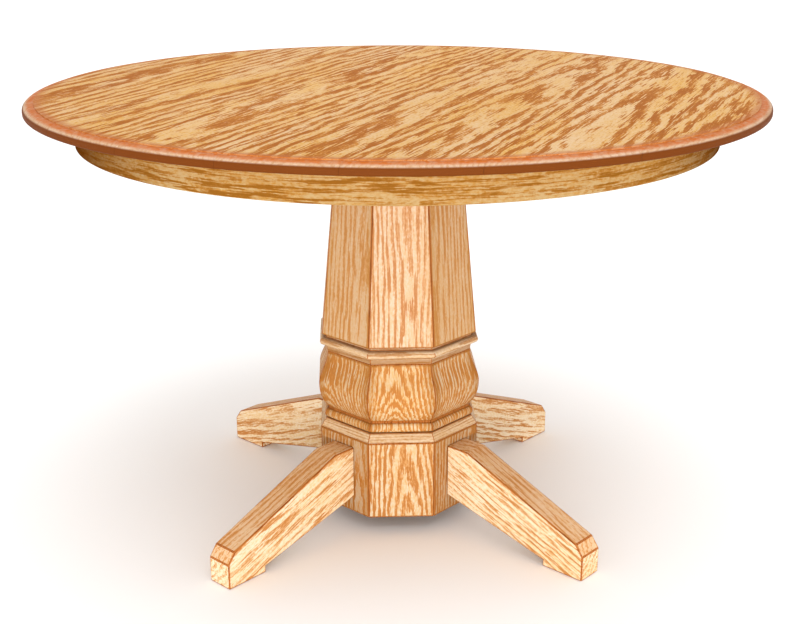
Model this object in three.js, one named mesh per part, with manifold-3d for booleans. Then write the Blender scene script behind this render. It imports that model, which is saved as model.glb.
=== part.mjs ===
// Round pedestal dining table in solid oak, built from separate wooden and steel pieces.
// Units are millimetres, +Z is up, and the origin is on the floor under the middle of the pedestal.
import * as THREE from "three";
import { mergeVertices } from "three/addons/utils/BufferGeometryUtils.js";
import Module from "manifold-3d";

const wasm = await Module();
wasm.setup();

// ---- Overall sizes ----
const tableHeight = 762;
const topDiameter = 1219.2;
const glueLine = 0.3;

// ---- Top: edge-glued boards with one moulded edge around them ----
const topThickness = 18;
const boardCount = 8;
const boardWidth = 164;
const boardTurn = 65;
const edgeBand = 18.5;
const edgeStep = 1.8;
const edgeDrop = 9.5;
const edgeUnderRadius = 6;

// ---- Apron: a bent hoop in two halves, joined behind by splice blocks ----
const apronRadius = 533;
const apronHeight = 56;
const apronThickness = 20;
const apronEase = 2;
const spliceThickness = 18;
const spliceHalfAngle = 7;
const spliceHeight = 42;

// ---- Crossed arms that carry the top ----
const armWidth = 70;
const armDepth = 40;
const armTipDepth = 18;
const armTaperLength = 150;
const armEndGap = 12;

// ---- Pedestal, from the floor up; widths are measured across the flats of the octagon ----
const sideCount = 8;
const baseClearance = 30;
const baseHeight = 142;
const baseAcross = 278;
const baseWall = 40;
const basePlateThickness = 24;
const capHeight = 15;
const capTopAcross = 258;
const ringHole = 170;
const bulbHeight = 125;
const bulbNeckAcross = 250;
const bulbAcross = 282;
const bulbFootAcross = 250;
const bulbFootHeight = 21;
const bulbBellyHeight = 68;
const bulbInnerAcross = 200;
const lowerBeadAcross = 263;
const lowerBeadHeight = 17;
const collarHeight = 32;
const collarBeadAcross = 276;
const collarBeadHeight = 13;
const recessHeight = 6;
const recessAcross = 253;
const columnBottomAcross = 269;
const columnTopAcross = 194;
const columnWall = 22;
const plugHeight = 45;

// ---- Legs ----
const legWidth = 48;
const legReach = 430;
const legShoulder = 46;
const legTopBelowBlock = 17;
const legUnderAboveBlock = 31;
const padLength = 79;
const padHeight = 11;
const tipHeight = 44;
const tipClipRun = 14;
const tipClipRise = 19;

// ---- Steel ----
const lagRadius = 4;
const lagLength = 90;
const lagHeadRadius = 7.5;
const lagHeadHeight = 5.5;
const lagFlangeRadius = 10.5;
const lagFlangeHeight = 1.6;
const lagInset = 25;
const rodRadius = 6;
const rodClearance = 0.6;
const nutRadius = 10.9;
const nutHeight = 10;
const washerRadius = 14;
const washerThickness = 2.5;
const pocketRadius = 17;
const threadClearance = 0.3;

// ---- Heights that follow from the sizes above ----
const baseTop = baseClearance + baseHeight;
const capTop = baseTop + capHeight;
const bulbTop = capTop + bulbHeight;
const collarTop = bulbTop + collarHeight;
const topUnderside = tableHeight - topThickness;
const armUnderside = topUnderside - armDepth;
const pocketDepth = nutHeight + washerThickness + 1;
const apronInner = apronRadius - apronThickness;
const sideAngle = (2 * Math.PI) / sideCount;

// ---- Facets of the round pieces ----
const discSides = 144;
const hoopSides = 120;

// ---- Helpers ----

/** Turns a three.js geometry into a manifold-3d solid. */
function toSolid(geometry) {
  const plain = geometry.clone();
  plain.deleteAttribute("normal");
  plain.deleteAttribute("uv");
  const merged = mergeVertices(plain, 1e-3);
  const mesh = new wasm.Mesh({
    numProp: 3,
    vertProperties: new Float32Array(merged.attributes.position.array),
    triVerts: new Uint32Array(merged.index.array),
  });
  return new wasm.Manifold(mesh);
}

/** Turns a manifold-3d solid into a flat-shaded three.js geometry. */
function toGeometry(solid) {
  const mesh = solid.getMesh();
  const indexed = new THREE.BufferGeometry();
  indexed.setAttribute("position", new THREE.BufferAttribute(new Float32Array(mesh.vertProperties), 3));
  indexed.setIndex(new THREE.BufferAttribute(new Uint32Array(mesh.triVerts), 1));
  const geometry = indexed.toNonIndexed();
  geometry.computeVertexNormals();
  return geometry;
}

/** A box from its lowest to its highest corner. */
function box(low, high) {
  const size = high.map((value, axis) => value - low[axis]);
  const middle = high.map((value, axis) => (value + low[axis]) / 2);
  return toSolid(new THREE.BoxGeometry(...size).translate(...middle));
}

/** An upright prism over an outline drawn in plan. */
function prism(shape, bottom, top, curveSegments = 12) {
  const options = { depth: top - bottom, bevelEnabled: false, curveSegments };
  return toSolid(new THREE.ExtrudeGeometry(shape, options).translate(0, 0, bottom));
}

/** A plate whose outline is drawn in radius and height, and which is as wide as given across the radius. */
function upright(shape, width, curveSegments = 7) {
  const options = { depth: width, bevelEnabled: false, curveSegments };
  const geometry = new THREE.ExtrudeGeometry(shape, options);
  return toSolid(geometry.rotateX(Math.PI / 2).translate(0, width / 2, 0));
}

/** A round or many-sided solid turned from an outline in radius and height, with its first corner at an angle. */
function turned(points, segments, start = 0) {
  const outline = [...points, points[0]].map(([radius, height]) => new THREE.Vector2(radius, height));
  return toSolid(new THREE.LatheGeometry(outline, segments, start).rotateX(Math.PI / 2));
}

/** An eight-sided solid turned from an outline whose radius is measured to the flats. */
function octagonal(points) {
  const toCorner = 1 / Math.cos(sideAngle / 2);
  return turned(points.map(([flat, height]) => [flat * toCorner, height]), sideCount, sideAngle / 2);
}

/** A round bar or hole along Z. */
function bar(radius, bottom, top, segments = 16) {
  const geometry = new THREE.CylinderGeometry(radius, radius, top - bottom, segments);
  return toSolid(geometry.rotateX(Math.PI / 2).translate(0, 0, (top + bottom) / 2));
}

/** The slice of the pedestal that one stave fills, set back by half a glue line on both mitres. */
function staveSlice(bottom, top) {
  const setBack = glueLine / 2 / Math.sin(sideAngle / 2);
  const reach = baseAcross + bulbAcross + columnBottomAcross;
  const half = (reach - setBack) * Math.tan(sideAngle / 2);
  const shape = new THREE.Shape();
  shape.moveTo(setBack, 0);
  shape.lineTo(reach, -half);
  shape.lineTo(reach, half);
  shape.closePath();
  return prism(shape, bottom - 1, top + 1);
}

/** One mitred stave from its side outline. */
function stave(shape, bottom, top) {
  return upright(shape, baseAcross * 2).intersect(staveSlice(bottom, top));
}

/** A closed outline through straight corners. */
function polygon(points) {
  const shape = new THREE.Shape();
  points.forEach(([x, y], index) => (index ? shape.lineTo(x, y) : shape.moveTo(x, y)));
  shape.closePath();
  return shape;
}

// ---- Finishes ----
const oakTop = new THREE.MeshStandardMaterial({ color: 0xe3ab62, roughness: 0.42, metalness: 0 });
const oakSide = new THREE.MeshStandardMaterial({ color: 0xd79a4e, roughness: 0.48, metalness: 0 });
const oakMoulding = new THREE.MeshStandardMaterial({ color: 0xe2a85f, roughness: 0.45, metalness: 0 });
const oakHidden = new THREE.MeshStandardMaterial({ color: 0xc9924f, roughness: 0.7, metalness: 0 });
const steel = new THREE.MeshStandardMaterial({ color: 0xa7a9ac, roughness: 0.35, metalness: 1 });

const table = new THREE.Group();
table.name = "round_pedestal_table";

/** Adds one named piece to a group, turned about the vertical by an angle in degrees. */
function addPiece(parent, name, solid, material, turn = 0) {
  const piece = new THREE.Mesh(toGeometry(solid), material);
  piece.name = name;
  piece.rotation.z = THREE.MathUtils.degToRad(turn);
  parent.add(piece);
}

// ---- Tabletop ----

/** The whole moulded disc, before it is divided into boards. */
function topDisc() {
  const radius = topDiameter / 2;
  const bottom = topUnderside;
  const edge = new THREE.Path();
  edge.moveTo(radius - edgeUnderRadius, bottom);
  edge.absarc(radius - edgeUnderRadius, bottom + edgeUnderRadius, edgeUnderRadius, -Math.PI / 2, 0, false);
  const nose = tableHeight - edgeStep - edgeDrop;
  edge.lineTo(radius, nose);
  edge.absellipse(radius - edgeBand, nose, edgeBand, edgeDrop, 0, Math.PI / 2, false);
  edge.lineTo(radius - edgeBand, tableHeight);
  const rim = edge.getPoints(4).map((point) => [point.x, point.y]);
  return turned([[0, bottom], ...rim, [0, tableHeight]], discSides);
}

/** The boards, numbered from one side of the top to the other. */
function addTop() {
  const boards = new THREE.Group();
  boards.rotation.z = THREE.MathUtils.degToRad(boardTurn);
  const disc = topDisc();
  const reach = topDiameter;
  for (let index = 0; index < boardCount; index++) {
    const first = index === 0;
    const last = index === boardCount - 1;
    const low = first ? -reach : (index - boardCount / 2) * boardWidth + glueLine / 2;
    const high = last ? reach : (index + 1 - boardCount / 2) * boardWidth - glueLine / 2;
    const strip = box([-reach, low, topUnderside - 1], [reach, high, tableHeight + 1]);
    addPiece(boards, `top_board_${index + 1}`, disc.intersect(strip), oakTop);
  }
  table.add(boards);
}

// ---- Apron ----

/** The two half hoops and the blocks behind their joints. */
function addApron() {
  const top = topUnderside - glueLine;
  const bottom = topUnderside - apronHeight;
  const hoop = turned(
    [
      [apronInner, bottom],
      [apronRadius - apronEase, bottom],
      [apronRadius, bottom + apronEase],
      [apronRadius, top],
      [apronInner, top],
    ],
    hoopSides,
  );
  const reach = apronRadius * 2;
  const behind = hoop.intersect(box([-reach, glueLine / 2, bottom - 1], [reach, reach, top + 1]));
  addPiece(table, "apron_half_back", behind, oakSide);
  addPiece(table, "apron_half_front", behind, oakSide, 180);

  const outer = apronInner - glueLine;
  const inner = outer - spliceThickness;
  const half = THREE.MathUtils.degToRad(spliceHalfAngle);
  const sector = new THREE.Shape();
  sector.absarc(0, 0, inner, -half, half, false);
  sector.absarc(0, 0, outer, half, -half, true);
  // The hoop is many-sided, so its flats come a little inside its radius.
  const flatness = Math.cos(Math.PI / hoopSides);
  const block = prism(sector, top - spliceHeight, top).scale([flatness, flatness, 1]);
  addPiece(table, "apron_splice_right", block, oakHidden);
  addPiece(table, "apron_splice_left", block, oakHidden, 180);
}

// ---- Arms ----

/** One arm lying along X, with a half-depth notch at its middle. */
function arm(notchedAbove) {
  const reach = apronInner - spliceThickness - armEndGap;
  const top = topUnderside - glueLine;
  const bottom = armUnderside;
  const tip = topUnderside - armTipDepth;
  const outline = polygon([
    [-reach, top],
    [-reach, tip],
    [-reach + armTaperLength, bottom],
    [reach - armTaperLength, bottom],
    [reach, tip],
    [reach, top],
  ]);
  const half = armWidth / 2 + glueLine;
  const middle = (top + bottom) / 2;
  const notch = notchedAbove
    ? box([-half, -armWidth, middle - glueLine / 2], [half, armWidth, top + 1])
    : box([-half, -armWidth, bottom - 1], [half, armWidth, middle + glueLine / 2]);
  const hole = bar(rodRadius + rodClearance, bottom - 1, top + 1);
  const pocket = bar(pocketRadius, top - pocketDepth, top + 1);
  return upright(outline, armWidth).subtract(notch).subtract(hole).subtract(pocket);
}

/** The two arms, half lapped where they cross. */
function addArms() {
  addPiece(table, "top_arm_side_to_side", arm(true), oakHidden);
  addPiece(table, "top_arm_front_to_back", arm(false), oakHidden, 90);
}

// ---- Pedestal ----

/** Adds one stave for each side of the octagon, numbered from the right-hand side round by the back. */
function addStaves(label, makeStave) {
  for (let side = 0; side < sideCount; side++) {
    addPiece(table, `${label}_stave_${side + 1}`, makeStave(side), oakSide, (side * 360) / sideCount);
  }
}

/** Half the column's width across the flats at a height. */
function columnFlat(height) {
  const share = (height - collarTop) / (armUnderside - collarTop);
  return (columnBottomAcross + share * (columnTopAcross - columnBottomAcross)) / 2;
}

/** The tapered column and the plug in its top. */
function addColumn() {
  const bottom = collarTop;
  const top = armUnderside - glueLine;
  const outline = polygon([
    [columnFlat(bottom) - columnWall, bottom],
    [columnFlat(bottom), bottom],
    [columnFlat(top), top],
    [columnFlat(top) - columnWall, top],
  ]);
  const side = stave(outline, bottom, top);
  addStaves("column", () => side);

  const plugBottom = top - plugHeight;
  const inside = columnWall + glueLine;
  const plug = octagonal([
    [0, plugBottom],
    [columnFlat(plugBottom) - inside, plugBottom],
    [columnFlat(top) - inside, top],
    [0, top],
  ]);
  const hole = bar(rodRadius + rodClearance, plugBottom - 1, top + 1);
  addPiece(table, "column_top_plug", plug.subtract(hole), oakHidden);
}

/** The collar: a bead over a cove, with a low set-back step that shadows the column's foot. */
function addCollar() {
  const bottom = bulbTop;
  const top = collarTop - glueLine;
  const beadRadius = collarBeadHeight / 2;
  const beadTop = collarTop - recessHeight;
  const beadFlat = collarBeadAcross / 2 - beadRadius;
  const outline = new THREE.Path();
  outline.moveTo(ringHole / 2, bottom);
  outline.lineTo(bulbNeckAcross / 2, bottom);
  outline.quadraticCurveTo(bulbNeckAcross / 2, beadTop - collarBeadHeight, beadFlat, beadTop - collarBeadHeight);
  outline.absarc(beadFlat, beadTop - beadRadius, beadRadius, -Math.PI / 2, Math.PI / 2, false);
  outline.lineTo(recessAcross / 2, beadTop);
  outline.lineTo(recessAcross / 2, top);
  outline.lineTo(ringHole / 2, top);
  const points = outline.getPoints(6).map((point) => [point.x, point.y]);
  addPiece(table, "pedestal_collar", octagonal(points), oakMoulding);
}

/** The vase-shaped middle, with a half-round bead along its foot. */
function addBulb() {
  const bottom = capTop;
  const top = bulbTop - glueLine;
  const bellyZ = bottom + bulbBellyHeight;
  const footZ = bottom + bulbFootHeight;
  const beadMiddle = bottom + lowerBeadHeight / 2;
  const quirk = bulbFootAcross / 2 - 1;
  const outline = new THREE.Shape();
  outline.moveTo(bulbInnerAcross / 2, bottom);
  outline.lineTo(quirk, bottom);
  outline.absellipse(quirk, beadMiddle, lowerBeadAcross / 2 - quirk, lowerBeadHeight / 2, -Math.PI / 2, Math.PI / 2, false);
  outline.lineTo(quirk, footZ - 1);
  outline.lineTo(bulbFootAcross / 2, footZ);
  outline.bezierCurveTo(
    bulbAcross / 2 - 3,
    footZ + bulbBellyHeight / 5,
    bulbAcross / 2,
    bellyZ - bulbBellyHeight / 4,
    bulbAcross / 2,
    bellyZ,
  );
  outline.bezierCurveTo(
    bulbAcross / 2,
    bellyZ + bulbBellyHeight / 4,
    bulbNeckAcross / 2,
    top - bulbBellyHeight / 3,
    bulbNeckAcross / 2,
    top,
  );
  outline.lineTo(bulbInnerAcross / 2, top);
  outline.closePath();
  const side = stave(outline, bottom, top);
  addStaves("bulb", () => side);
}

/** The bevelled cap over the base block. */
function addCap() {
  const top = capTop - glueLine;
  const ring = octagonal([
    [ringHole / 2, baseTop],
    [baseAcross / 2, baseTop],
    [capTopAcross / 2, top],
    [ringHole / 2, top],
  ]);
  addPiece(table, "base_cap", ring, oakMoulding);
}

/** Heights of the two lag bolts in each leg. */
function lagHeights() {
  const under = baseClearance + legUnderAboveBlock;
  const over = baseTop - legTopBelowBlock;
  return { lower: under + lagInset, upper: over - lagInset };
}

/** A hole along X from one distance to another, at a height. */
function crossHole(radius, from, to, height) {
  const hole = bar(radius, from, to);
  return hole.rotate([0, 90, 0]).translate([0, 0, height]);
}

/** The block at the foot of the pedestal and the plate that closes it. */
function addBase() {
  const bottom = baseClearance;
  const top = baseTop - glueLine;
  const outer = baseAcross / 2;
  const inner = outer - baseWall;
  const outline = polygon([
    [inner, bottom],
    [outer, bottom],
    [outer, top],
    [inner, top],
  ]);
  const plain = stave(outline, bottom, top);
  let drilled = plain;
  for (const height of Object.values(lagHeights())) {
    drilled = drilled.subtract(crossHole(lagRadius + rodClearance, inner - 1, outer + 1, height));
  }
  addStaves("base", (side) => (side % 2 ? drilled : plain));

  const plateTop = bottom + basePlateThickness;
  const plateFlat = inner - glueLine;
  const plate = octagonal([
    [0, bottom],
    [plateFlat, bottom],
    [plateFlat, plateTop],
    [0, plateTop],
  ]);
  const hole = bar(rodRadius + rodClearance, bottom - 1, plateTop + 1);
  const pocket = bar(pocketRadius, bottom - 1, bottom + pocketDepth);
  addPiece(table, "base_bottom_plate", plate.subtract(hole).subtract(pocket), oakHidden);
}

// ---- Legs ----

/** The leg's solid, reaching out along X. */
function legSolid() {
  const root = baseAcross / 2 + glueLine;
  const top = baseTop - legTopBelowBlock;
  const under = baseClearance + legUnderAboveBlock;
  const padInner = legReach - padLength;
  const outline = polygon([
    [root, under],
    [padInner, padHeight],
    [padInner, 0],
    [legReach, 0],
    [legReach, tipHeight],
    [legReach - tipClipRun, tipHeight + tipClipRise],
    [baseAcross / 2 + legShoulder, top],
    [root, top],
  ]);
  let leg = upright(outline, legWidth);
  const holeEnd = baseAcross / 2 - baseWall + lagLength + 1;
  for (const height of Object.values(lagHeights())) {
    leg = leg.subtract(crossHole(lagRadius + threadClearance, root - 1, holeEnd, height));
  }
  return leg;
}

/** A flanged lag bolt along X, with its head inside the base. */
function lagSolid(height) {
  const seat = baseAcross / 2 - baseWall - threadClearance;
  const flange = bar(lagFlangeRadius, seat - lagFlangeHeight, seat);
  const head = bar(lagHeadRadius, seat - lagFlangeHeight - lagHeadHeight, seat - lagFlangeHeight / 2, 6);
  const shank = bar(lagRadius, seat - lagFlangeHeight / 2, seat + lagLength);
  return flange.add(head).add(shank).rotate([0, 90, 0]).translate([0, 0, height]);
}

/** The four legs on the corner faces of the base, each with its two bolts. */
function addLegs() {
  const leg = legSolid();
  const places = { back_right: 45, back_left: 135, front_left: 225, front_right: 315 };
  for (const [place, turn] of Object.entries(places)) {
    const corner = new THREE.Group();
    corner.rotation.z = THREE.MathUtils.degToRad(turn);
    addPiece(corner, `leg_${place}`, leg, oakSide);
    for (const [level, height] of Object.entries(lagHeights())) {
      addPiece(corner, `leg_bolt_${place}_${level}`, lagSolid(height), steel);
    }
    table.add(corner);
  }
}

// ---- Tie rod ----

/** A ring along Z that the rod passes through. */
function rodRing(radius, bottom, top, segments) {
  return bar(radius, bottom, top, segments).subtract(bar(rodRadius + threadClearance, bottom - 1, top + 1));
}

/** The rod that clamps the arms, the pedestal and the bottom plate together. */
function addTieRod() {
  const lowSeat = baseClearance + pocketDepth - threadClearance;
  const highSeat = topUnderside - glueLine - pocketDepth + threadClearance;
  const lowNut = lowSeat - washerThickness - threadClearance;
  const highNut = highSeat + washerThickness + threadClearance;
  addPiece(table, "tie_rod", bar(rodRadius, baseClearance + 1, topUnderside - glueLine - 1), steel);
  addPiece(table, "tie_rod_washer_bottom", rodRing(washerRadius, lowSeat - washerThickness, lowSeat), steel);
  addPiece(table, "tie_rod_washer_top", rodRing(washerRadius, highSeat, highSeat + washerThickness), steel);
  addPiece(table, "tie_rod_nut_bottom", rodRing(nutRadius, lowNut - nutHeight, lowNut, 6), steel);
  addPiece(table, "tie_rod_nut_top", rodRing(nutRadius, highNut, highNut + nutHeight, 6), steel);
}

addTop();
addApron();
addArms();
addColumn();
addCollar();
addBulb();
addCap();
addBase();
addLegs();
addTieRod();

export default table;
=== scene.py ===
"""Visual model of a round pedestal dining table in honey-stained oak.

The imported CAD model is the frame. Each sub-assembly is a class that models its pieces at the bench,
lays the run of the grain on them and dresses them in their finish. All sizes are in metres.
"""

import logging
import math
import random
from collections.abc import Callable, Iterator, Sequence
from contextlib import contextmanager
from dataclasses import dataclass, field
from enum import Enum
from functools import cache

import bpy
from mathutils import Matrix, Vector


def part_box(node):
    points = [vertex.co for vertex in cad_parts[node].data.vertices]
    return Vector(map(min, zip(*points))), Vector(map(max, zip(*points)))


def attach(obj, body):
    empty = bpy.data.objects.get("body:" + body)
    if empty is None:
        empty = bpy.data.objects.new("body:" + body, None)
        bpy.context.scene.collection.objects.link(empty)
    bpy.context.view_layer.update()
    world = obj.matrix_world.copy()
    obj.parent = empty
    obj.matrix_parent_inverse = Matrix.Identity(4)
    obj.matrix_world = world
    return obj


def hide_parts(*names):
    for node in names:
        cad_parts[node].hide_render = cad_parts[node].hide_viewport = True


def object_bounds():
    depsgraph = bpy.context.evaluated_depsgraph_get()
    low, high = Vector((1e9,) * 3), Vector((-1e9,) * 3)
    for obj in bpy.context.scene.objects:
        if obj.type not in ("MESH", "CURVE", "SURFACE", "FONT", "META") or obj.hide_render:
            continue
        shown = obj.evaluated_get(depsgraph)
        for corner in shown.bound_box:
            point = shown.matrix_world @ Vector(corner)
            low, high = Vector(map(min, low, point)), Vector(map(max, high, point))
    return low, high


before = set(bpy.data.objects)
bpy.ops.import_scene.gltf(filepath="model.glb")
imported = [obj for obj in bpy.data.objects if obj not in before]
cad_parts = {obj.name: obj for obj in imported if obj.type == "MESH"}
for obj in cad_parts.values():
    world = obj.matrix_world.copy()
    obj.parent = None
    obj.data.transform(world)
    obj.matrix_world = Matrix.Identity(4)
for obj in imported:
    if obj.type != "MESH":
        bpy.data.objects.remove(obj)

log = logging.getLogger("oak_table")

CAD_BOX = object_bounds()
BODY = "root"
SIDES = 8
SIDE_ANGLE = math.tau / SIDES
TO_CORNER = 1 / math.cos(SIDE_ANGLE / 2)  # from the middle of an octagon's side to its corner
UP = Vector((0, 0, 1))
GLUE_LINE = 0.0003
SLACK = 0.0002  # how far past the start of the moulding a face must reach to belong to it
LEVEL = 0.9999  # the least upward part of a level face's normal
HOOP_PITH = (0.03, 0.05)  # how far below and behind the hoop's face the pith lies

Colour = tuple[float, float, float]
Band = tuple[float, float]
Quirk = tuple[float, float, float]
Outline = list[tuple[float, float]]
Socket = bpy.types.NodeSocket
Piece = bpy.types.Object
Mapper = Callable[[Vector, Vector], Vector]
Share = Callable[[Vector, Vector], float]


# ---- shader graphs ----


class Texture(Enum):
    """The noises of the finishes: features to the metre along each axis, finer layers, and a shift."""

    PITH_DRIFT = ((0.9, 2.5, 2.5), 1, 3.1)
    PITH_SWAY = ((1.2, 3, 3), 1, 17.7)
    RING_WAVES = ((7, 24, 24), 2, 5.3)
    RING_TEETH = ((15, 330, 330), 2, 12.9)
    BRUSH = ((19, 310, 310), 3, 9.1)
    FIBRE = ((55, 1150, 1150), 2, 23)
    PATCH = ((5, 26, 26), 2, 29)
    CLOUD = ((2.6, 10, 10), 2, 37)
    SPECK = ((170, 330, 330), 2, 53)
    DASH = ((13, 75, 75), 1, 61)
    PORE = ((95, 2100, 2100), 2, 41)
    WIPED_RAGS = ((90, 90, 90), 3, 67)
    WORN_RAGS = ((110, 110, 110), 3, 71)
    PLATE_MOTTLE = ((160, 160, 160), 3, 1)
    TURNING_MARKS = ((40, 40, 2600), 1, 7)
    FLOOR_CLOUD = ((0.6, 0.6, 0.6), 2, 0)


class Value:
    """A shader socket that holds a number and adds Math nodes when it is used in an expression."""

    def __init__(self, graph: "Graph", socket: Socket) -> None:
        """Wraps a socket.

        Args:
            graph: The graph that new nodes are added to.
            socket: The output socket that gives the number.
        """
        self.graph = graph
        self.socket = socket

    def _math(self, operation: str, first: object, second: object = 0.0, clamp: bool = False) -> "Value":
        """Adds one Math node.

        Args:
            operation: The node's operation.
            first: Its first value or link.
            second: Its second value or link.
            clamp: Whether the result is kept between 0 and 1.

        Returns:
            The node's result.
        """
        settings = {"operation": operation, "use_clamp": clamp}
        node = self.graph.node("ShaderNodeMath", settings, {0: first, 1: second})
        return Value(self.graph, node.outputs[0])

    def __add__(self, other: object) -> "Value":
        """This value plus another."""
        return self._math("ADD", self, other)

    __radd__ = __add__

    def __sub__(self, other: object) -> "Value":
        """This value less another."""
        return self._math("SUBTRACT", self, other)

    def __rsub__(self, other: object) -> "Value":
        """Another value less this one."""
        return self._math("SUBTRACT", other, self)

    def __mul__(self, other: object) -> "Value":
        """This value times another."""
        return self._math("MULTIPLY", self, other)

    __rmul__ = __mul__

    def __truediv__(self, other: object) -> "Value":
        """This value over another."""
        return self._math("DIVIDE", self, other)

    def root(self) -> "Value":
        """The square root."""
        return self._math("SQRT", self)

    def fraction(self) -> "Value":
        """The part after the decimal point."""
        return self._math("FRACT", self)

    def clamped(self) -> "Value":
        """This value kept between 0 and 1."""
        return self._math("ADD", self, 0.0, clamp=True)

    def ramp(self, low: float, high: float) -> "Value":
        """A smooth step.

        Args:
            low: The value where the step is still 0.
            high: The value where it has reached 1.

        Returns:
            The step's height.
        """
        settings = {"interpolation_type": "SMOOTHSTEP"}
        sockets = {"Value": self, "From Min": low, "From Max": high}
        return Value(self.graph, self.graph.node("ShaderNodeMapRange", settings, sockets).outputs[0])


class Graph:
    """One material's node graph."""

    def __init__(self, name: str) -> None:
        """Starts a material with only an output node.

        Args:
            name: The material's name.
        """
        self.material = bpy.data.materials.new(name)
        self.material.use_nodes = True
        self.tree = self.material.node_tree
        self.tree.nodes.clear()

    def node(self, kind: str, settings: dict | None = None, sockets: dict | None = None) -> bpy.types.Node:
        """Adds one node.

        Args:
            kind: The node's type.
            settings: Its properties, which are set before its sockets.
            sockets: The value or link of each socket, by name or number.

        Returns:
            The new node.
        """
        node = self.tree.nodes.new(kind)
        for key, value in (settings or {}).items():
            setattr(node, key, value)
        for key, value in (sockets or {}).items():
            link = value.socket if isinstance(value, Value) else value
            if isinstance(link, Socket):
                self.tree.links.new(link, node.inputs[key])
            else:
                node.inputs[key].default_value = link
        return node

    def attribute(self, name: str) -> Socket:
        """The vector that a piece's own attribute holds."""
        return self.node("ShaderNodeAttribute", {"attribute_name": name}).outputs["Vector"]

    def own(self) -> Socket:
        """The piece's own coordinates."""
        return self.node("ShaderNodeTexCoord").outputs["Object"]

    def split(self, vector: Socket) -> list[Value]:
        """The three parts of a vector."""
        return [Value(self, part) for part in self.node("ShaderNodeSeparateXYZ", None, {0: vector}).outputs]

    def noise(self, vector: Socket, texture: Texture) -> Value:
        """Smooth noise, from 0 to 1.

        Args:
            vector: The place to read it at.
            texture: Which noise it is.

        Returns:
            The noise.
        """
        scale, detail, shift = texture.value
        settings = {"Vector": vector, "Scale": scale, "Location": (shift,) * 3}
        place = self.node("ShaderNodeMapping", None, settings).outputs[0]
        sockets = {"Vector": place, "Scale": 1.0, "Detail": detail, "Roughness": 0.55}
        return Value(self, self.node("ShaderNodeTexNoise", None, sockets).outputs[0])

    def swing(self, vector: Socket, texture: Texture) -> Value:
        """The same noise, from -0.5 to 0.5."""
        return self.noise(vector, texture) - 0.5

    def mix(self, share: object, first: object, second: object) -> Socket:
        """Mixes two colours.

        Args:
            share: How much of the second colour there is, as a number or a Value.
            first: The first colour or link.
            second: The second colour or link.

        Returns:
            The mixed colour's socket.
        """
        pair = [(*c, 1.0) if isinstance(c, tuple) else c for c in (first, second)]
        settings = {"data_type": "RGBA", "clamp_factor": True}
        return self.node("ShaderNodeMix", settings, {0: share, 6: pair[0], 7: pair[1]}).outputs[2]

    def bump(self, height: Value, strength: float, depth: float) -> Socket:
        """The normal that a height gives, at a strength and a depth."""
        sockets = {"Strength": strength, "Distance": depth, "Height": height}
        return self.node("ShaderNodeBump", None, sockets).outputs[0]

    def finish(self, **sockets: object) -> bpy.types.Material:
        """Joins a Principled shader to the output.

        Args:
            **sockets: Its sockets, with underscores for the spaces in their names.

        Returns:
            The finished material.
        """
        named = {key.replace("_", " "): value for key, value in sockets.items()}
        shader = self.node("ShaderNodeBsdfPrincipled", None, named)
        self.node("ShaderNodeOutputMaterial", None, {"Surface": shader.outputs[0]})
        return self.material


# ---- finishes ----


class Grain(Enum):
    """Where a finish reads the run of the grain: as laid on the piece, or along its own X or Y."""

    LAID = "laid"
    ALONG_X = "x"
    ALONG_Y = "y"


RING_ONSET: Band = (0.0, 0.14)  # where in a ring the early wood sets in
STREAK_BAND: Band = (0.26, 0.62)  # how strong the early wood must be to take the stain
HEART_BAND: Band = (0.60, 1.0)  # and to take it darkest
PORE_BAND: Band = (0.56, 0.70)  # where the pore noise opens a pore
PAINTED_SHADE_BAND: Band = (0.30, 1.0)  # the squared share of the way to an edge where the painted shade deepens
QUIRK_CORE = 0.4  # the share of a quirk's reach that is as dark as its middle
PORE_SHARE = 0.45  # how dark an open pore is
FIBRE_SHARE = 0.45  # how much the fine fibres break the early wood
OAK_PITH = (0.4, 0.03, -0.66)  # where the pith of a piece with no laid grain lies
OAK_BUMP = 0.0004  # the depth of the open pores
ZINC_BUMP = 0.0001  # the depth of the turning marks
LACQUER_IOR = 1.46


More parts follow.
